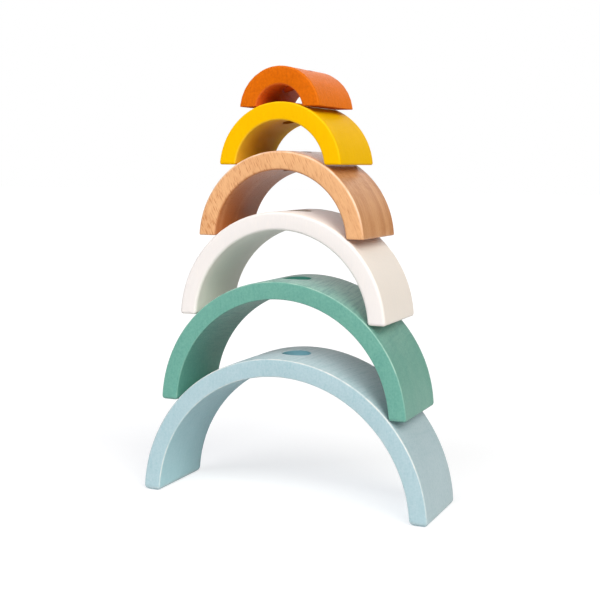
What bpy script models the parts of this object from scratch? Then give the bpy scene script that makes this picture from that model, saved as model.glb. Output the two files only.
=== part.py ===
# Six wooden stacking arches, standing as a tower with the widest at the bottom.
# Metres, +Z up. X runs across the span, Y along the depth, and the tower stands on Z = 0.

from collections import namedtuple
from math import acos, asin, ceil, cos, pi, radians, sin, sqrt

import bmesh
import bpy

MM = 0.001

# Each arch is part of a turned ring: the ring's outer radius, its wall, and how far above
# the ring's centre the saw cut that makes the feet passes.
BLUE_RADIUS = 75.0 * MM
BLUE_WALL = 8.8 * MM
BLUE_FOOT_CUT = 2.6 * MM

GREEN_RADIUS = 64.1 * MM
GREEN_WALL = 8.5 * MM
GREEN_FOOT_CUT = 2.5 * MM

WHITE_RADIUS = 53.4 * MM
WHITE_WALL = 8.7 * MM
WHITE_FOOT_CUT = 2.4 * MM

NATURAL_RADIUS = 42.6 * MM
NATURAL_WALL = 8.8 * MM
NATURAL_FOOT_CUT = 2.3 * MM

YELLOW_RADIUS = 31.2 * MM
YELLOW_WALL = 8.4 * MM
YELLOW_FOOT_CUT = 2.2 * MM

ORANGE_RADIUS = 20.4 * MM
ORANGE_WALL = 8.5 * MM
ORANGE_FOOT_CUT = 1.9 * MM

# Sizes that all the arches share.
DEPTH = 42.5 * MM
EDGE_ROUNDING = 0.9 * MM
HOLE_DIAMETER = 14.0 * MM
HOLE_EASING = 0.6 * MM

# Clearance between a foot's rounded inner edge and the arch that it stands on.
SEAT_GAP = 0.3 * MM

# How far a cutter reaches past the faces that it cuts.
CUTTER_REACH = 0.5 * MM

# How finely curves are cut into flat facets.
FACET_ERROR = 0.04 * MM
ROUNDING_STEPS = 3
HOLE_SIDES = 32
SHARP_ANGLE = radians(40)

Arch = namedtuple("Arch", "name radius wall foot_cut colour roughness")

# From the floor up. Colours are sRGB.
ARCHES = (
    Arch("arch_blue", BLUE_RADIUS, BLUE_WALL, BLUE_FOOT_CUT, (0.70, 0.80, 0.83), 0.50),
    Arch("arch_green", GREEN_RADIUS, GREEN_WALL, GREEN_FOOT_CUT, (0.43, 0.69, 0.62), 0.50),
    Arch("arch_white", WHITE_RADIUS, WHITE_WALL, WHITE_FOOT_CUT, (0.96, 0.93, 0.91), 0.50),
    Arch("arch_natural", NATURAL_RADIUS, NATURAL_WALL, NATURAL_FOOT_CUT, (0.88, 0.66, 0.46), 0.45),
    Arch("arch_yellow", YELLOW_RADIUS, YELLOW_WALL, YELLOW_FOOT_CUT, (0.98, 0.77, 0.02), 0.45),
    Arch("arch_orange", ORANGE_RADIUS, ORANGE_WALL, ORANGE_FOOT_CUT, (0.90, 0.44, 0.05), 0.45),
)


def clear_scene():
    for obj in list(bpy.data.objects):
        bpy.data.objects.remove(obj, do_unlink=True)


def linear(channel):
    if channel <= 0.04045:
        return channel / 12.92
    return ((channel + 0.055) / 1.055) ** 2.4


def stain(arch):
    material = bpy.data.materials.new(arch.name + "_stain")
    material.use_nodes = True
    shader = material.node_tree.nodes["Principled BSDF"]
    shader.inputs["Base Color"].default_value = [linear(c) for c in arch.colour] + [1.0]
    shader.inputs["Roughness"].default_value = arch.roughness
    shader.inputs["Metallic"].default_value = 0.0
    return material


def inner_radius(arch):
    return arch.radius - arch.wall


# Points (x, z) of one arc over the crown, from the right foot to the left one.
# Z = 0 is the plane of the feet, so the ring's centre lies foot_cut below it.
def arc_points(radius, foot_cut):
    start = asin(foot_cut / radius)
    sweep = pi - 2 * start
    facet = 2 * acos(1 - FACET_ERROR / radius)
    count = ceil(sweep / facet)
    angles = [start + sweep * i / count for i in range(count + 1)]
    return [(radius * cos(a), radius * sin(a) - foot_cut) for a in angles]


# The front outline, drawn once and pushed back along Y by the depth.
def arch_mesh(arch):
    outline = arc_points(arch.radius, arch.foot_cut)
    outline += reversed(arc_points(inner_radius(arch), arch.foot_cut))

    bm = bmesh.new()
    corners = [bm.verts.new((x, -DEPTH / 2, z)) for x, z in outline]
    front = bm.faces.new(corners)
    pushed = bmesh.ops.extrude_face_region(bm, geom=[front], use_keep_orig=True)
    back = [item for item in pushed["geom"] if isinstance(item, bmesh.types.BMVert)]
    bmesh.ops.translate(bm, verts=back, vec=(0, DEPTH, 0))
    bmesh.ops.recalc_face_normals(bm, faces=bm.faces)

    mesh = bpy.data.meshes.new(arch.name)
    bm.to_mesh(mesh)
    bm.free()
    mesh.shade_smooth()
    mesh.set_sharp_from_angle(angle=SHARP_ANGLE)
    return mesh


# Height, above the feet, of a curved face at a distance x from the crown's middle.
def face_height(radius, foot_cut, x):
    return sqrt(radius ** 2 - x ** 2) - foot_cut


# A drill with flared ends. The flares follow the curved faces, so the easing has the same
# width all round both rims.
def hole_cutter(arch):
    bore = HOLE_DIAMETER / 2
    rim = bore + HOLE_EASING
    flare = rim + CUTTER_REACH
    top = arch.radius - arch.foot_cut + 2 * CUTTER_REACH
    lowest = face_height(inner_radius(arch), arch.foot_cut, rim) - 2 * CUTTER_REACH

    rings = [[] for _ in range(6)]
    bm = bmesh.new()
    for side in range(HOLE_SIDES):
        turn = 2 * pi * (side + 0.5) / HOLE_SIDES
        outside = face_height(arch.radius, arch.foot_cut, rim * cos(turn))
        inside = face_height(inner_radius(arch), arch.foot_cut, rim * cos(turn))
        profile = (
            (flare, lowest),
            (flare, inside - CUTTER_REACH),
            (bore, inside + HOLE_EASING),
            (bore, outside - HOLE_EASING),
            (flare, outside + CUTTER_REACH),
            (flare, top),
        )
        for ring, (reach, height) in zip(rings, profile):
            ring.append(bm.verts.new((reach * cos(turn), reach * sin(turn), height)))

    for low, high in zip(rings, rings[1:]):
        for side in range(HOLE_SIDES):
            after = (side + 1) % HOLE_SIDES
            bm.faces.new((low[side], low[after], high[after], high[side]))
    bm.faces.new(reversed(rings[0]))
    bm.faces.new(rings[-1])
    bmesh.ops.recalc_face_normals(bm, faces=bm.faces)

    name = arch.name + "_hole_cutter"
    mesh = bpy.data.meshes.new(name)
    bm.to_mesh(mesh)
    bm.free()
    cutter = bpy.data.objects.new(name, mesh)
    bpy.context.collection.objects.link(cutter)
    cutter.hide_render = True
    cutter.display_type = "WIRE"
    return cutter


# Rise from the lower arch's feet to the upper one's. The upper arch stands astride: the rounded
# inner edge of each of its feet touches the lower arch's round back.
def seat_rise(lower, upper):
    rounding_from_centre = inner_radius(upper) + EDGE_ROUNDING
    rounding_above_centre = upper.foot_cut + EDGE_ROUNDING
    rounding_x = sqrt(rounding_from_centre ** 2 - rounding_above_centre ** 2)
    reach = lower.radius + SEAT_GAP + EDGE_ROUNDING
    return sqrt(reach ** 2 - rounding_x ** 2) - EDGE_ROUNDING - lower.foot_cut


def build_arch(arch):
    obj = bpy.data.objects.new(arch.name, arch_mesh(arch))
    bpy.context.collection.objects.link(obj)
    obj.data.materials.append(stain(arch))

    rounding = obj.modifiers.new("edge_rounding", "BEVEL")
    rounding.width = EDGE_ROUNDING
    rounding.segments = ROUNDING_STEPS
    rounding.limit_method = "ANGLE"
    rounding.angle_limit = SHARP_ANGLE

    cutter = hole_cutter(arch)
    cutter.parent = obj
    drilling = obj.modifiers.new("crown_hole", "BOOLEAN")
    drilling.operation = "DIFFERENCE"
    drilling.solver = "EXACT"
    drilling.object = cutter
    return obj


# Each arch is carried by the one below it, and its origin is midway between its own feet.
def build_tower():
    below = None
    below_object = None
    for arch in ARCHES:
        obj = build_arch(arch)
        if below:
            obj.parent = below_object
            obj.location.z = seat_rise(below, arch)
        below = arch
        below_object = obj


clear_scene()
build_tower()
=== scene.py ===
import ast
import math

import bpy
import numpy as np
from mathutils import Matrix, Vector


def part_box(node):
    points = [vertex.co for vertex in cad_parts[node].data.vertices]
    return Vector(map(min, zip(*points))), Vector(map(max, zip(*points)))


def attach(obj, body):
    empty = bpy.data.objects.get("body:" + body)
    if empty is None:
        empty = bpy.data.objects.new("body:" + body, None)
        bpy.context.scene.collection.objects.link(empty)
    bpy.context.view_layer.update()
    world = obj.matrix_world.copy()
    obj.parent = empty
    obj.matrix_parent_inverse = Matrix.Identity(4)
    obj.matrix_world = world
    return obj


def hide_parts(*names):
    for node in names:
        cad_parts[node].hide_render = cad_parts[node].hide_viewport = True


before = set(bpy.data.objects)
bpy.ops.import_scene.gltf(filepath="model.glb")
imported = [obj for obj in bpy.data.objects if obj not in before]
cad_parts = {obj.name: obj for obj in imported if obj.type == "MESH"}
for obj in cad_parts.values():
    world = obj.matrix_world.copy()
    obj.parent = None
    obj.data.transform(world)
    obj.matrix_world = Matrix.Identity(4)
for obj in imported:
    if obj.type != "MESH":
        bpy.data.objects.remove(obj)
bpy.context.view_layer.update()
print("frame loaded, nodes:", ", ".join(sorted(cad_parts)))

mm = 0.001
scene = bpy.context.scene
scene.view_settings.view_transform = "Standard"

# small helpers for node trees

mathSigns = {ast.Add: "ADD", ast.Sub: "SUBTRACT", ast.Mult: "MULTIPLY", ast.Div: "DIVIDE"}
mathNames = {
    "sin": "SINE", "cos": "COSINE", "asin": "ARCSINE", "acos": "ARCCOSINE", "abs": "ABSOLUTE",
    "sign": "SIGN", "min": "MINIMUM", "max": "MAXIMUM", "above": "GREATER_THAN", "below": "LESS_THAN",
}


def feed(tree, socket, value):
    if isinstance(value, bpy.types.NodeSocket):
        tree.links.new(value, socket)
    else:
        socket.default_value = value


def addNode(tree, kind, inputs=None, **settings):
    node = tree.nodes.new(kind)
    for name, value in settings.items():
        setattr(node, name, value)
    for name, value in (inputs or {}).items():
        feed(tree, node.inputs[name], value)
    return node


# turns a written formula into Math nodes, known holds the sockets and numbers it may name
def formula(tree, text, known):
    def walk(part):
        if isinstance(part, ast.Constant):
            return part.value
        if isinstance(part, ast.Name):
            return known[part.id]
        if isinstance(part, ast.BinOp):
            operation, parts = mathSigns[type(part.op)], (part.left, part.right)
        else:
            operation, parts = mathNames[part.func.id], part.args
        node = addNode(tree, "ShaderNodeMath", operation=operation)
        for socket, item in zip(node.inputs, parts):
            feed(tree, socket, walk(item))
        return node.outputs[0]
    return walk(ast.parse(text).body[0].value)


def workOut(tree, known, **formulas):
    for name, text in formulas.items():
        known[name] = formula(tree, text, known)


# unit vector towards a place, by its turn from the front and its height in degrees
def towards(turn, height):
    turn, height = math.radians(turn), math.radians(height)
    level = math.cos(height)
    return Vector((math.sin(turn) * level, -math.cos(turn) * level, math.sin(height)))


# the arch blank: a bent board with square feet and a round hole in its crown.
# it starts as a grid whose squares round the middle are drawn out into rings about the hole

archInputs = {
    "outerRadius": "NodeSocketFloat", "innerRadius": "NodeSocketFloat",
    "footCut": "NodeSocketFloat",      # how far above the ring's centre the feet are sawn
    "baseHeight": "NodeSocketFloat", "depth": "NodeSocketFloat",
    "holeRadius": "NodeSocketFloat",
    "edgeRounding": "NodeSocketFloat", "footRounding": "NodeSocketFloat",
    "rimRounding": "NodeSocketFloat",
    "patch": "NodeSocketFloat",        # half width of the squared patch round the hole
    "holeCells": "NodeSocketInt", "patchCells": "NodeSocketInt",
    "arcCells": "NodeSocketInt", "depthCells": "NodeSocketInt",
    "finish": "NodeSocketMaterial",
}

blankCuts = {
    "eighthTurn": math.pi / 4,
    "roundingRoom": 1.4,               # length of the last cell, in roundings
    "cellSlack": 0.25,                 # in cells, for finding the hole's rim and the feet
    "sharpAngle": 0.6,                 # in radians, only edges that turn more than this are rounded
    "mergeGap": 0.002 * mm,
}


def makeArchTree():
    tree = bpy.data.node_groups.new("archBlank", "GeometryNodeTree")
    tree.interface.new_socket("arch", in_out="OUTPUT", socket_type="NodeSocketGeometry")
    for name, kind in archInputs.items():
        tree.interface.new_socket(name, in_out="INPUT", socket_type=kind)
    groupInput = tree.nodes.new("NodeGroupInput")
    known = {socket.name: socket for socket in groupInput.outputs if socket.name}
    known.update(blankCuts)

    # one grid step is one unit, so a point's place is also its cell number
    workOut(tree, known,
            gridLength="2 * (patchCells + arcCells)",
            gridDepth="2 * (patchCells + depthCells)",
            lengthPoints="gridLength + 1",
            depthPoints="gridDepth + 1")
    grid = addNode(tree, "GeometryNodeMeshGrid", {
        "Size X": known["gridLength"], "Size Y": known["gridDepth"],
        "Vertices X": known["lengthPoints"], "Vertices Y": known["depthPoints"]})
    place = tree.nodes.new("GeometryNodeInputPosition").outputs[0]
    split = addNode(tree, "ShaderNodeSeparateXYZ", {"Vector": place})
    known.update(col=split.outputs["X"], row=split.outputs["Y"])
    workOut(tree, known, overHole="below(max(abs(col), abs(row)), holeCells)")
    drilled = addNode(tree, "GeometryNodeDeleteGeometry", {
        "Geometry": grid.outputs["Mesh"], "Selection": known["overHole"]}, domain="FACE")

    kept = tree.nodes.new("GeometryNodeCaptureAttribute")
    kept.capture_items.new("VECTOR", "cell")
    feed(tree, kept.inputs["Geometry"], drilled.outputs[0])
    feed(tree, kept.inputs["cell"], place)
    cell = addNode(tree, "ShaderNodeSeparateXYZ", {"Vector": kept.outputs["cell"]})
    known.update(col=cell.outputs["X"], row=cell.outputs["Y"])

    # the same sheet twice, joined along its rims, gives the back and the inside of the arch
    raised = addNode(tree, "GeometryNodeExtrudeMesh", {
        "Mesh": kept.outputs["Geometry"], "Offset Scale": 0.0, "Individual": False})
    lining = addNode(tree, "GeometryNodeFlipFaces", {"Mesh": kept.outputs["Geometry"]})
    both = tree.nodes.new("GeometryNodeJoinGeometry")
    tree.links.new(raised.outputs["Mesh"], both.inputs[0])
    tree.links.new(lining.outputs["Mesh"], both.inputs[0])
    radius = addNode(tree, "GeometryNodeSwitch", {
        "Switch": raised.outputs["Top"], "False": known["innerRadius"],
        "True": known["outerRadius"]}, input_type="FLOAT")
    known["radius"] = radius.outputs[0]

    workOut(tree, known,
            # squares about the hole become rings
            px="patch * min(abs(col) / patchCells, 1)",
            py="patch * min(abs(row) / patchCells, 1)",
            far="max(px, py)",
            holeSquare="patch * holeCells / patchCells",
            share="max((far - holeSquare) / (patch - holeSquare), 0)",
            ease="share * share * (3 - 2 * share)",
            ring="holeRadius + (patch - holeRadius) * share",
            swing="eighthTurn * min(px, py) / far",
            wide="above(px, py)",
            longSide="ring * cos(swing)",
            shortSide="ring * sin(swing)",
            ringX="wide * longSide + (1 - wide) * shortSide",
            ringY="wide * shortSide + (1 - wide) * longSide",
            flatX="ringX + (px - ringX) * ease",
            flatY="ringY + (py - ringY) * ease",
            # past the patch the cells run evenly down to the feet and out to the two faces,
            # and the last one leaves room for the rounding
            legTurn="acos(footCut / radius) - asin(patch / radius)",
            footTurn="roundingRoom * footRounding / radius",
            legCell="max(abs(col) - patchCells, 0)",
            downLeg="min(legCell / (arcCells - 1), 1)",
            atFoot="max(legCell - arcCells + 1, 0)",
            faceReach="roundingRoom * max(edgeRounding, footRounding)",
            faceCell="max(abs(row) - patchCells, 0)",
            outward="min(faceCell / (depthCells - 1), 1)",
            atFace="max(faceCell - depthCells + 1, 0)",
            turn="asin(flatX / radius) + downLeg * (legTurn - footTurn) + atFoot * footTurn",
            x="sign(col) * radius * sin(turn)",
            y="sign(row) * (flatY + outward * (depth / 2 - patch - faceReach) + atFace * faceReach)",
            z="baseHeight - footCut + radius * cos(turn)")
    point = addNode(tree, "ShaderNodeCombineXYZ", {
        "X": known["x"], "Y": known["y"], "Z": known["z"]})
    bent = addNode(tree, "GeometryNodeSetPosition", {
        "Geometry": both.outputs[0], "Position": point.outputs[0]})
    closed = addNode(tree, "GeometryNodeMergeByDistance", {
        "Geometry": bent.outputs[0], "Distance": blankCuts["mergeGap"]})

    # how much each sharp edge is rounded, as a share of the widest rounding
    edgeAngle = tree.nodes.new("GeometryNodeInputMeshEdgeAngle")
    known["angle"] = edgeAngle.outputs["Unsigned Angle"]
    workOut(tree, known,
            atRim="below(max(abs(col), abs(row)), holeCells + cellSlack)",
            onFoot="above(abs(col), patchCells + arcCells - cellSlack)",
            width="atRim * rimRounding + onFoot * footRounding + (1 - atRim - onFoot) * edgeRounding",
            rounding="above(angle, sharpAngle) * width / max(edgeRounding, footRounding)")
    marked = addNode(tree, "GeometryNodeStoreNamedAttribute", {
        "Geometry": closed.outputs[0], "Name": "bevel_weight_edge", "Value": known["rounding"]},
        data_type="FLOAT", domain="EDGE")
    smooth = addNode(tree, "GeometryNodeSetShadeSmooth", {"Geometry": marked.outputs[0]})
    real = addNode(tree, "GeometryNodeRealizeInstances", {"Geometry": smooth.outputs[0]})
    finished = addNode(tree, "GeometryNodeSetMaterial", {
        "Geometry": real.outputs[0], "Material": known["finish"]})
    groupOutput = tree.nodes.new("NodeGroupOutput")
    tree.links.new(finished.outputs[0], groupOutput.inputs[0])
    return tree


archTree = makeArchTree()
print("arch blank tree:", len(archTree.nodes), "nodes")

# beech: fibres run up Z, rays run along Y, growth rings lie across Y. scales are cells per metre,
# and a cut says where each noise begins and is full

beech = {
    # long and thin
    "fibres": {"scale": (900, 900, 24), "detail": 3.0, "roughness": 0.6, "cut": (0.3, 0.72)},
    "pores": {"scale": (2600, 2600, 150), "detail": 1.0, "roughness": 0.5, "cut": (0.58, 0.72)},
    # rays cut across, seen as lines on the crown
    "endLines": {"scale": (1300, 60, 200), "detail": 2.0, "roughness": 0.55, "cut": (0.42, 0.66)},
    # growth layers down the sides
    "bands": {"scale": (20, 110, 6), "detail": 3.0, "roughness": 0.55, "cut": (0.3, 0.7)},
    "rings": {"scale": 85.0, "distortion": 1.6, "detail": 2.0, "detailScale": 1.2, "cut": (0.35, 1.0)},
    # rays seen end on, short dashes on the two faces: cells across and up, and how weak the weakest are
    "flecks": {"scale": (1650, 200), "cut": (0.45, 0.1), "faint": 0.2},
    "clouds": {"scale": 95.0, "detail": 3.0},
    "mottle": {"scale": 1000.0, "detail": 2.0},
    "patches": {"scale": 150.0, "detail": 3.0, "cut": (0.35, 0.65)},
    # slow waves that push every layer about a little
    "waves": {"scale": 38.0, "detail": 2.0, "push": 2.2 * mm},
}

grainParts = ("fibres", "pores", "flecks", "endLines", "bands", "rings", "clouds", "mottle", "patches")


def makeGrainTree():
    tree = bpy.data.node_groups.new("beechGrain", "ShaderNodeTree")
    tree.interface.new_socket("place", in_out="INPUT", socket_type="NodeSocketVector")
    for name in grainParts:
        tree.interface.new_socket(name, in_out="OUTPUT", socket_type="NodeSocketFloat")
    groupInput = tree.nodes.new("NodeGroupInput")
    groupOutput = tree.nodes.new("NodeGroupOutput")
    place = groupInput.outputs["place"]

    def vectors(operation, first, second):
        node = addNode(tree, "ShaderNodeVectorMath", {0: first, 1: second}, operation=operation)
        return node.outputs[0]

    def even(part):
        return addNode(tree, "ShaderNodeTexNoise", {
            "Vector": place, "Scale": part["scale"], "Detail": part["detail"]})

    waves = beech["waves"]
    centred = vectors("SUBTRACT", even(waves).outputs["Color"], (0.5, 0.5, 0.5))
    wavy = vectors("ADD", place, vectors("MULTIPLY", centred, (waves["push"], waves["push"], 0)))

    def cut(value, part):
        low, high = part["cut"]
        ranged = addNode(tree, "ShaderNodeMapRange", {
            "Value": value, "From Min": low, "From Max": high}, interpolation_type="SMOOTHSTEP")
        return ranged.outputs["Result"]

    def stretched(part):
        noise = addNode(tree, "ShaderNodeTexNoise", {
            "Vector": vectors("MULTIPLY", wavy, part["scale"]), "Scale": 1.0,
            "Detail": part["detail"], "Roughness": part["roughness"]})
        return cut(noise.outputs["Fac"], part)

    # one dash in each cell, a few strong and many faint
    def dashes(part):
        at = addNode(tree, "ShaderNodeSeparateXYZ", {"Vector": wavy})
        across, along = part["scale"]
        known = {"x": at.outputs["X"], "z": at.outputs["Z"], "across": across, "along": along,
                 "faint": part["faint"]}
        workOut(tree, known, u="x * across", v="z * along")
        flat = addNode(tree, "ShaderNodeCombineXYZ", {"X": known["u"], "Y": known["v"]})
        cells = addNode(tree, "ShaderNodeTexVoronoi", {"Vector": flat.outputs[0], "Scale": 1.0},
                        voronoi_dimensions="2D", feature="F1")
        chance = addNode(tree, "ShaderNodeSeparateColor", {"Color": cells.outputs["Color"]})
        known.update(body=cut(cells.outputs["Distance"], part), chance=chance.outputs["Red"])
        workOut(tree, known, dash="body * (faint + (1 - faint) * chance * chance)")
        return known["dash"]

    def yearly(part):
        wave = addNode(tree, "ShaderNodeTexWave", {
            "Vector": wavy, "Scale": part["scale"], "Distortion": part["distortion"],
            "Detail": part["detail"], "Detail Scale": part["detailScale"]},
            wave_type="BANDS", bands_direction="Y", wave_profile="SAW")
        return cut(wave.outputs["Fac"], part)

    made = {name: stretched(beech[name]) for name in ("fibres", "pores", "endLines", "bands")}
    made["flecks"] = dashes(beech["flecks"])
    made["rings"] = yearly(beech["rings"])
    made["clouds"] = even(beech["clouds"]).outputs["Fac"]
    made["mottle"] = even(beech["mottle"]).outputs["Fac"]
    made["patches"] = cut(even(beech["patches"]).outputs["Fac"], beech["patches"])
    for name, socket in made.items():
        tree.links.new(socket, groupOutput.inputs[name])
    return tree


grainTree = makeGrainTree()
print("beech grain tree:", len(grainTree.nodes), "nodes")


# stained or bare beech: stain gathers in the grain and on the sawn feet, and is thin along the
# rounded edges. the darker sawn feet also paint the shade under the feet, the pale edges also paint
# a highlight, and the sides and the hollow carry painted light and shade. these numbers are the same
# for all six arches

staining = {
    "endStart": 0.3,                   # how far a face leans up before its end grain shows
    "sawnStart": 0.6,                  # how far a face leans down before it counts as a sawn foot
    # the sawn feet take more stain, and their darkening also paints the shade under the feet
    "sawnSoak": 0.6, "sawnRough": 0.6,
    "fewest": 0.1, "most": 1.4,        # limits for how flecks thin out and crowd
    "wornLeast": 0.4,                  # wear between the worn patches of an edge
    "bandStreaks": 0.4,                # share of a thin streak that follows the bands, not the fibres
    "fibreRough": 0.10, "poreRough": 0.08,
    "fibreRelief": 0.5, "poreRelief": 0.7, "fleckRelief": 0.4,
    "reliefDepth": 0.12 * mm,
}

finishNames = (
    "fibreShare", "poreShare", "fleckShare", "endShare", "bandShare", "ringShare", "cloudShare",
    "mottleShare", "baseShare", "sideShare", "insideShare", "wearShare", "streakShare", "hollowShare",
    "fleckDrift", "roughness")


def mixColour(tree, share, first, second):
    node = addNode(tree, "ShaderNodeMix", data_type="RGBA")
    for socket, value in zip((node.inputs[0], node.inputs[6], node.inputs[7]), (share, first, second)):
        feed(tree, socket, (*value, 1.0) if isinstance(value, tuple) else value)
    return node.outputs[2]


def makeFinish(arch):
    material = bpy.data.materials.new(arch["slot"])
    material.use_nodes = True
    tree = material.node_tree
    shader = tree.nodes["Principled BSDF"]
    coords = tree.nodes.new("ShaderNodeTexCoord")
    turned = addNode(tree, "ShaderNodeMapping", {
        "Vector": coords.outputs["Object"], "Location": arch["grainShift"],
        "Rotation": [math.radians(angle) for angle in arch["grainTilt"]]})
    grain = addNode(tree, "ShaderNodeGroup", node_tree=grainTree)
    feed(tree, grain.inputs["place"], turned.outputs[0])
    facing = addNode(tree, "ShaderNodeSeparateXYZ", {"Vector": coords.outputs["Normal"]})
    worn = addNode(tree, "ShaderNodeAttribute", attribute_name="edgeWearAndHighlight")
    bored = addNode(tree, "ShaderNodeAttribute", attribute_name="bore")
    lining = addNode(tree, "ShaderNodeAttribute", attribute_name="inside")
    spot = addNode(tree, "ShaderNodeSeparateXYZ", {"Vector": coords.outputs["Object"]})

    known = {name: grain.outputs[name] for name in grainParts}
    known.update({name: arch[name] for name in finishNames})
    known.update(staining)
    known.update(ny=facing.outputs["Y"], nz=facing.outputs["Z"], edge=worn.outputs["Fac"],
                 inside=lining.outputs["Fac"], across=spot.outputs["X"])
    workOut(tree, known,
            front="abs(ny)",
            endGrain="max(abs(nz) - endStart, 0) / (1 - endStart)",
            # the sawn foot undersides: more stain on the end grain, and painted shade under the feet
            sawn="max(0 - nz - sawnStart, 0) / (1 - sawnStart) * (1 - inside)",
            crowd="min(max(1 + fleckDrift * across, fewest), most)",
            lines="fibreShare * fibres + poreShare * pores + ringShare * rings",
            dashed="fleckShare * flecks * crowd * front",
            layers="endShare * endGrain * endLines + bandShare * (bands - 0.5) * (1 - front)",
            # painted light and shade: every face but the two flat ones is made lighter or darker, and the
            # hollow as well
            sides="sideShare * (1 - front) + insideShare * inside",
            cloudy="cloudShare * (clouds - 0.5) + mottleShare * (mottle - 0.5)",
            # the sum toward the deep colour: stain in the grain, and painted light and shade on the sides,
            # the hollow and the sawn feet
            soak="baseShare + lines + dashed + layers + sides + cloudy + sawnSoak * sawn",
            soaked="min(max(soak, 0), 1)",
            streak="bandStreaks * bands + (1 - bandStreaks) * fibres",
            streaks="streakShare * (1 - front) * (1 - inside) * streak",
            patchy="wornLeast + (1 - wornLeast) * patches",
            # the pale edges are partly worn stain and partly a painted highlight
            thin="min(max(wearShare * edge * patchy + streaks, 0), 1)",
            # painted shade and bounce light in the hollow of the arch
            hollow="hollowShare * inside",
            rough="roughness + fibreRough * (fibres - 0.5) + poreRough * pores + sawnRough * sawn",
            gloss="min(rough, 1)",
            relief="fibreRelief * fibres - poreRelief * pores - fleckRelief * flecks * front")
    # the deep colour is real stain in the grain and painted shade
    body = mixColour(tree, known["soaked"], arch["stain"], arch["deepStainAndShade"])
    # mixes the painted shade and bounce light into the hollow
    hollowShaded = mixColour(tree, known["hollow"], body, arch["hollowShadeColour"])
    # mixes in the pale edges: worn stain and a painted highlight
    eased = mixColour(tree, known["thin"], hollowShaded, arch["paleStainAndHighlight"])
    # the wall of the hole is darker: stain soaking into the drilled wood, and painted shade in the hole
    colour = mixColour(tree, bored.outputs["Fac"], eased, arch["boreStainAndShade"])
    bump = addNode(tree, "ShaderNodeBump", {
        "Height": known["relief"], "Strength": arch["relief"],
        "Distance": staining["reliefDepth"]})
    shader.inputs["Specular IOR Level"].default_value = arch["shine"]
    feed(tree, shader.inputs["Base Color"], colour)
    feed(tree, shader.inputs["Roughness"], known["gloss"])
    feed(tree, shader.inputs["Normal"], bump.outputs[0])
    return material


# the six arches, from the floor up. radius and wall are the ring's, the other sizes come from
# the frame. colours are linear, and a share says how far that part of the grain takes the stain
# to the deep colour, which also stands for painted shade. the sides' share paints light and shade
# on every face but the two flat ones, and the hollow's shares and colour paint shade and bounce
# light into the hollow. the edge wear share and streakShare thin the stain on the edges and in
# streaks, and on the edges this also paints a highlight. the inner wear share is for the inner
# edges, and fleckDrift thins the flecks out along X

blueArch = {
    "node": "arch_blue", "body": "blue", "slot": "blue_stain",
    "radius": 75.0 * mm, "wall": 8.8 * mm, "edgeRounding": 0.7 * mm, "footRounding": 2.4 * mm,
    "stain": (0.436, 0.545, 0.585), "deepStainAndShade": (0.190, 0.368, 0.412),
    "paleStainAndHighlight": (0.95, 0.83, 0.75), "boreStainAndShade": (0.190, 0.390, 0.460),
    "hollowShadeColour": (0.227, 0.571, 0.632), "hollowShare": 0.3, "streakShare": 0.0,
    "roughness": 0.42, "shine": 0.3, "relief": 0.35,
    "fibreShare": 0.06, "poreShare": 0.15, "fleckShare": 0.06, "endShare": 0.35, "bandShare": 0.05,
    "ringShare": 0.04, "cloudShare": 0.15, "mottleShare": 0.65,
    "baseShare": 0.29, "sideShare": -0.27, "insideShare": 0.08,
    "fleckDrift": 0, "innerWearAndHighlight": 0.8, "wearShare": 0.58,
    "grainShift": (0.013, 0.004, 0.0), "grainTilt": (1.5, -2.0, 4.0),
}
greenArch = {
    "node": "arch_green", "body": "green", "slot": "green_stain",
    "radius": 64.1 * mm, "wall": 8.5 * mm, "edgeRounding": 0.6 * mm, "footRounding": 1.5 * mm,
    "stain": (0.151, 0.366, 0.292), "deepStainAndShade": (0.050, 0.215, 0.186),
    "paleStainAndHighlight": (0.54, 0.70, 0.59), "boreStainAndShade": (0.065, 0.280, 0.215),
    "hollowShadeColour": (0.106, 0.330, 0.220), "hollowShare": 0.2, "streakShare": 0.17,
    "roughness": 0.42, "shine": 0.28, "relief": 0.35,
    "fibreShare": 0.06, "poreShare": 0.15, "fleckShare": 0.06, "endShare": 0.75, "bandShare": 0.05,
    "ringShare": 0.04, "cloudShare": 0.20, "mottleShare": 0.75,
    "baseShare": 0.20, "sideShare": 0.0, "insideShare": 0.18,
    "fleckDrift": 0, "innerWearAndHighlight": 0.35, "wearShare": 0.5,
    "grainShift": (0.113, 0.024, 0.3), "grainTilt": (-2.0, 3.0, -6.0),
}
whiteArch = {
    "node": "arch_white", "body": "white", "slot": "white_stain",
    "radius": 53.4 * mm, "wall": 8.7 * mm, "edgeRounding": 1.4 * mm, "footRounding": 1.3 * mm,
    "stain": (0.685, 0.654, 0.648), "deepStainAndShade": (0.87, 0.785, 0.71),
    "paleStainAndHighlight": (0.930, 0.910, 0.890), "boreStainAndShade": (0.550, 0.480, 0.400),
    # the hollow's green is painted bounce light from the green arch below
    "hollowShadeColour": (0.62, 0.80, 0.72), "hollowShare": 0.1, "streakShare": 0.0,
    "roughness": 0.42, "shine": 0.33, "relief": 0.30,
    "fibreShare": 0.05, "poreShare": 0.10, "fleckShare": 0.03, "endShare": 0.15, "bandShare": 0.05,
    "ringShare": 0.03, "cloudShare": 0.15, "mottleShare": 0.10,
    "baseShare": 0.20, "sideShare": 0.65, "insideShare": 0.0,
    "fleckDrift": 0, "innerWearAndHighlight": 0.5, "wearShare": 0.35,
    "grainShift": (0.213, 0.034, 0.6), "grainTilt": (2.0, -1.0, 8.0),
}
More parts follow.
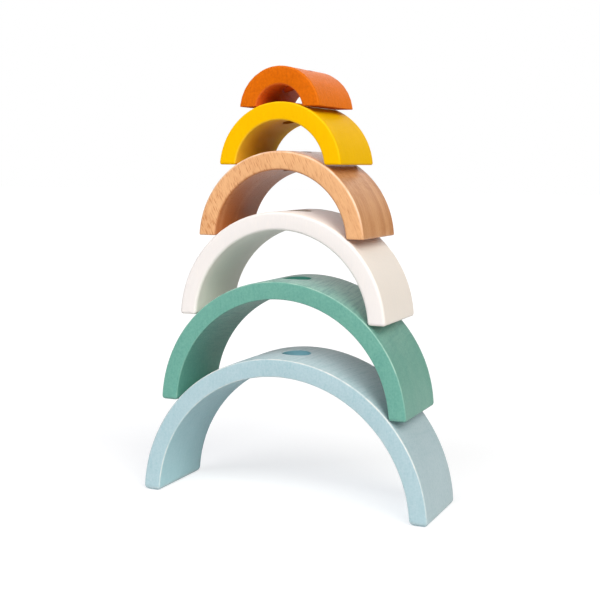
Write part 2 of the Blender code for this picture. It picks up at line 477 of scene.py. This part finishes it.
naturalArch = {
    "node": "arch_natural", "body": "natural", "slot": "bare_beech",
    "radius": 42.6 * mm, "wall": 8.8 * mm, "edgeRounding": 1.1 * mm, "footRounding": 0.7 * mm,
    "stain": (0.778, 0.441, 0.2176), "deepStainAndShade": (0.44, 0.155, 0.045),
    "paleStainAndHighlight": (0.95, 0.80, 0.64), "boreStainAndShade": (0.300, 0.120, 0.050),
    "hollowShadeColour": (0.46, 0.130, 0.030), "hollowShare": 0.2, "streakShare": 0.0,
    "roughness": 0.32, "shine": 0.17, "relief": 0.25,
    "fibreShare": 0.115, "poreShare": 0.10, "fleckShare": 0.66, "endShare": 0.25, "bandShare": 0.42,
    "ringShare": 0.085, "cloudShare": 0.20, "mottleShare": 0.21,
    "baseShare": 0.165, "sideShare": 0.35, "insideShare": 0.38,
    "fleckDrift": -14, "innerWearAndHighlight": 0.1, "wearShare": 0.55,
    "grainShift": (0.313, 0.044, 0.9), "grainTilt": (1.0, 24.0, 5.0),
}
yellowArch = {
    "node": "arch_yellow", "body": "yellow", "slot": "yellow_stain",
    "radius": 31.2 * mm, "wall": 8.4 * mm, "edgeRounding": 0.9 * mm, "footRounding": 1.0 * mm,
    "stain": (0.88, 0.498, 0.0009), "deepStainAndShade": (0.6700, 0.3100, 0.0003),
    "paleStainAndHighlight": (0.930, 0.580, 0.020), "boreStainAndShade": (0.450, 0.170, 0.002),
    "hollowShadeColour": (0.62, 0.33, 0.11), "hollowShare": 0.25, "streakShare": 0.0,
    "roughness": 0.42, "shine": 0.015, "relief": 0.30,
    "fibreShare": 0.05, "poreShare": 0.12, "fleckShare": 0.03, "endShare": 0.10, "bandShare": 0.03,
    "ringShare": 0.03, "cloudShare": 0.15, "mottleShare": 0.30,
    "baseShare": 0.38, "sideShare": -0.26, "insideShare": -0.36,
    "fleckDrift": 0, "innerWearAndHighlight": 0.3, "wearShare": 0.5,
    "grainShift": (0.413, 0.054, 1.2), "grainTilt": (-1.0, 1.0, -5.0),
}
orangeArch = {
    "node": "arch_orange", "body": "orange", "slot": "orange_stain",
    "radius": 20.4 * mm, "wall": 8.5 * mm, "edgeRounding": 0.9 * mm, "footRounding": 0.5 * mm,
    "stain": (0.80, 0.175, 0.0012), "deepStainAndShade": (0.36, 0.056, 0.0006),
    "paleStainAndHighlight": (0.800, 0.240, 0.040), "boreStainAndShade": (0.450, 0.045, 0.003),
    "hollowShadeColour": (0.72, 0.10, 0.06), "hollowShare": 0.3, "streakShare": 0.0,
    "roughness": 0.40, "shine": 0.045, "relief": 0.30,
    "fibreShare": 0.06, "poreShare": 0.15, "fleckShare": 0.04, "endShare": 0.10, "bandShare": 0.03,
    "ringShare": 0.03, "cloudShare": 0.15, "mottleShare": 0.60,
    "baseShare": 0.42, "sideShare": -0.40, "insideShare": 0.12,
    "fleckDrift": 0, "innerWearAndHighlight": 0.2, "wearShare": 0.3,
    "grainShift": (0.513, 0.064, 1.5), "grainTilt": (2.0, 0.0, 7.0),
}
arches = (blueArch, greenArch, whiteArch, naturalArch, yellowArch, orangeArch)

# sizes and cells that all six share
cuts = {
    "holeRadius": 7.0 * mm,
    "rimRounding": 0.3 * mm,
    "holeCells": 8,                    # 8 times as many edges go round the hole
    "patchReach": 13.0 * mm, "patchShare": 0.76,   # the patch's half width, and its most in inner radii
    "patchRings": 4,
    "depthCells": 8,
    "cellLength": 1.0 * mm,            # along the inside of the arch
    "fewestCells": 4,
    "roundingSteps": 6,
}


def archSizes(arch):
    low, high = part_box(arch["node"])
    outer = arch["radius"]
    inner = outer - arch["wall"]
    footCut = outer - (high[2] - low[2])
    patch = min(cuts["patchReach"], cuts["patchShare"] * inner)
    innerArc = inner * (math.acos(footCut / inner) - math.asin(patch / inner))
    return {
        "outerRadius": outer, "innerRadius": inner, "footCut": footCut, "baseHeight": low[2],
        "depth": high[1] - low[1], "holeRadius": cuts["holeRadius"], "patch": patch,
        "edgeRounding": arch["edgeRounding"], "footRounding": arch["footRounding"],
        "rimRounding": cuts["rimRounding"], "holeCells": cuts["holeCells"],
        "patchCells": cuts["holeCells"] + cuts["patchRings"],
        "arcCells": max(int(innerArc / cuts["cellLength"]), cuts["fewestCells"]),
        "depthCells": cuts["depthCells"],
    }


# how the wear lies along the edges, and with it a painted highlight
wear = {
    "reach": 1.05, "fade": 0.75,       # where it ends and over how much it fades, in edge roundings
    "innerReach": 1.2,                 # width of the inner edges, in edge roundings
    "innerFade": 1.5,                  # height over which it fades on them, in foot roundings
    "outerFade": 0.42,                 # the same for the outer edges, as a share of the arch's height
    "onFeet": 0.2,                     # what is left of it at the feet
    "onRim": 0.5, "rimReach": 2,       # what is left of it round the hole, within so many rim roundings
    "boreReach": 1.2,                  # how far the hole's colour comes out over its rim, in rim roundings
    "crownShare": 0.4,                 # the hole is in the arch's crown, above this share of its hollow
}


def smoothShare(value):
    share = np.clip(value, 0, 1)
    return share * share * (3 - 2 * share)


# the edge mark is 1 in the middle of a rounded edge and 0 where the flat begins, and stands for worn
# stain and a painted highlight. bore is 1 on the wall of the hole, and inside on the hollow of the arch
def surfaceMarks(points, sizes, innerWearAndHighlight):
    x, y, z = points.T
    outer, inner = sizes["outerRadius"], sizes["innerRadius"]
    edgeRounding, footRounding, rimRounding = (
        sizes[name] for name in ("edgeRounding", "footRounding", "rimRounding"))
    up = z - sizes["baseHeight"]
    fromAxis = np.hypot(x, up + sizes["footCut"])
    offHole = np.hypot(x, y) - sizes["holeRadius"]
    crown = up > wear["crownShare"] * (inner - sizes["footCut"])
    farOff = 1.0

    # a point on an edge is near two faces, distances are scaled to the edge's own rounding
    near = np.stack([
        outer - fromAxis, fromAxis - inner, sizes["depth"] / 2 - np.abs(y),
        up * edgeRounding / footRounding,
        np.where(crown, offHole * edgeRounding / rimRounding, farOff)])
    second = np.sort(np.abs(near), axis=0)[1]
    # the pale edge is worn stain and also a painted highlight, faded toward the feet below
    edgeWearAndHighlight = smoothShare((edgeRounding * wear["reach"] - second) / (edgeRounding * wear["fade"]))
    edgeWearAndHighlight *= np.where(fromAxis - inner < wear["innerReach"] * edgeRounding, innerWearAndHighlight, 1)
    fadeHeight = np.where(
        fromAxis > (outer + inner) / 2,
        wear["outerFade"] * (outer - sizes["footCut"]), wear["innerFade"] * footRounding)
    edgeWearAndHighlight *= wear["onFeet"] + (1 - wear["onFeet"]) * smoothShare(up / fadeHeight)
    edgeWearAndHighlight *= np.where(crown & (offHole < wear["rimReach"] * rimRounding), wear["onRim"], 1)
    return {
        "edgeWearAndHighlight": edgeWearAndHighlight,
        # the hole's wall gets the darker colour, partly painted shade
        "bore": np.where(crown, smoothShare(wear["boreReach"] - offHole / rimRounding), 0),
        "inside": smoothShare((inner + edgeRounding - fromAxis) / edgeRounding),
    }


def makeArch(arch):
    sizes = archSizes(arch)
    finish = makeFinish(arch)
    name = arch["body"] + "_arch"
    blank = bpy.data.objects.new(name + "_blank", bpy.data.meshes.new(name + "_blank"))
    scene.collection.objects.link(blank)
    shape = blank.modifiers.new("shape", "NODES")
    shape.node_group = archTree
    values = dict(sizes, finish=finish)
    for socket in archTree.interface.items_tree:
        if socket.in_out == "INPUT":
            shape[socket.identifier] = values[socket.name]
    edges = blank.modifiers.new("edges", "BEVEL")
    edges.limit_method = "WEIGHT"
    edges.width = max(arch["edgeRounding"], arch["footRounding"])
    edges.segments = cuts["roundingSteps"]
    edges.use_clamp_overlap = False

    depsgraph = bpy.context.evaluated_depsgraph_get()
    mesh = bpy.data.meshes.new_from_object(blank.evaluated_get(depsgraph), depsgraph=depsgraph)
    bpy.data.objects.remove(blank, do_unlink=True)
    mesh.name = name
    points = np.empty(len(mesh.vertices) * 3)
    mesh.vertices.foreach_get("co", points)
    marks = surfaceMarks(points.reshape(-1, 3), sizes, arch["innerWearAndHighlight"])
    for mark, amounts in marks.items():
        mesh.attributes.new(mark, "FLOAT", "POINT").data.foreach_set("value", amounts)

    piece = bpy.data.objects.new(name, mesh)
    scene.collection.objects.link(piece)
    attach(piece, arch["body"])
    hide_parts(arch["node"])
    print("made", name, "with", len(mesh.polygons), "faces")


for arch in arches:
    makeArch(arch)

# floor, light and camera

studio = {
    "floorSize": 12.0, "floorColour": (0.80, 0.80, 0.80),
    "floorDrop": 0.2 * mm,             # keeps the floor clear of the feet
    # what the camera sees of the lit white paper: its glow, and how much light and shade show on it
    "paperGlow": (0.650, 0.660, 0.685), "paperShade": (0.46, 0.45, 0.43),
    "ambient": 0.02,                   # strength of the white room round the table
    # turn from the front, height, strength, width and tint, with the angles in degrees
    "lights": {
        "leftBox": (-20, 35, 1.80, 47, (1.0, 1.01, 1.06)),
        "rightBox": (50, 36, 2.92, 47, (1.0, 0.99, 0.94)),
        "backBox": (185, 12, 0.70, 60, (1.0, 1.0, 1.0)),
    },
    "unmirrored": ("backBox",),        # no mirror image of it in the wood
    # white screen behind that the wood mirrors. foot and full are the sines of the heights
    # where it begins and has all its glow, slope and cutoff give its width
    "backdrop": {
        "turn": 204, "glow": 1.9, "foot": 0.03, "full": 0.22,
        "slope": 3.3, "cutoff": 2.15, "topFade": 2.0,
    },
}
view = {
    "target": (1.725 * mm, 0.0, 98.769 * mm), "distance": 547.78 * mm,
    "azimuth": 24.050, "elevation": 6.802, "roll": 0.245,
    "lens": 67.438, "sensor": 36.0, "nearest": 10.0 * mm,
}


def makeFloor():
    half = studio["floorSize"] / 2
    mesh = bpy.data.meshes.new("floor")
    corners = [(-half, -half), (half, -half), (half, half), (-half, half)]
    mesh.from_pydata([(x, y, -studio["floorDrop"]) for x, y in corners], [], [(0, 1, 2, 3)])
    material = bpy.data.materials.new("whitePaper")
    material.use_nodes = True
    tree = material.node_tree
    tree.nodes.remove(tree.nodes["Principled BSDF"])
    paper = addNode(tree, "ShaderNodeBsdfDiffuse", {"Color": (*studio["floorColour"], 1.0)})
    shade = addNode(tree, "ShaderNodeBsdfDiffuse", {"Color": (*studio["paperShade"], 1.0)})
    glow = addNode(tree, "ShaderNodeEmission", {"Color": (*studio["paperGlow"], 1.0)})
    bright = addNode(tree, "ShaderNodeAddShader", {0: shade.outputs[0], 1: glow.outputs[0]})
    seen = tree.nodes.new("ShaderNodeLightPath").outputs["Is Camera Ray"]
    mixed = addNode(tree, "ShaderNodeMixShader", {0: seen, 1: paper.outputs[0], 2: bright.outputs[0]})
    tree.links.new(mixed.outputs[0], tree.nodes["Material Output"].inputs["Surface"])
    mesh.materials.append(material)
    floor = bpy.data.objects.new("floor", mesh)
    scene.collection.objects.link(floor)


def makeLight(name, turn, height, strength, width, tint):
    lamp = bpy.data.lights.new(name, "SUN")
    lamp.energy = strength
    lamp.color = tint
    lamp.angle = math.radians(width)
    light = bpy.data.objects.new(name, lamp)
    light.rotation_euler = towards(turn, height).to_track_quat("Z", "Y").to_euler()
    light.visible_glossy = name not in studio["unmirrored"]
    scene.collection.objects.link(light)


# the room lights everything evenly, and where the camera looks past the floor it sees white
def makeRoom():
    scene.world = bpy.data.worlds.new("room")
    scene.world.use_nodes = True
    tree = scene.world.node_tree
    path = tree.nodes.new("ShaderNodeLightPath")
    coords = tree.nodes.new("ShaderNodeTexCoord")
    way = addNode(tree, "ShaderNodeSeparateXYZ", {"Vector": coords.outputs["Generated"]})
    screen = towards(studio["backdrop"]["turn"], 0)
    known = dict(studio["backdrop"], ambient=studio["ambient"], toX=screen.x, toY=screen.y)
    known.update(x=way.outputs["X"], y=way.outputs["Y"], z=way.outputs["Z"],
                 seen=path.outputs["Is Camera Ray"], mirrored=path.outputs["Is Glossy Ray"])
    workOut(tree, known,
            behind="min(max(slope * (x * toX + y * toY) - cutoff, 0), 1)",
            raised="min(max((z - foot) / (full - foot), 0), 1)",
            lowered="min(max(topFade * (1 - z), 0), 1)",
            strength="ambient + seen * (1 - ambient) + mirrored * glow * behind * raised * lowered")
    background = tree.nodes["Background"]
    background.inputs["Color"].default_value = (1, 1, 1, 1)
    feed(tree, background.inputs["Strength"], known["strength"])


def makeCamera():
    lens = bpy.data.cameras.new("camera")
    lens.sensor_width = view["sensor"]
    lens.sensor_fit = "HORIZONTAL"
    lens.lens = view["lens"]
    lens.clip_start = view["nearest"]
    outward = towards(view["azimuth"], view["elevation"])
    stand = Vector(view["target"]) + outward * view["distance"]
    roll = Matrix.Rotation(math.radians(view["roll"]), 3, "Z")
    facing = outward.to_track_quat("Z", "Y").to_matrix() @ roll
    camera = bpy.data.objects.new("camera", lens)
    camera.matrix_world = Matrix.Translation(stand) @ facing.to_4x4()
    scene.collection.objects.link(camera)
    scene.camera = camera


makeFloor()
makeRoom()
for name, settings in studio["lights"].items():
    makeLight(name, *settings)
makeCamera()
print("floor, light and camera are set")
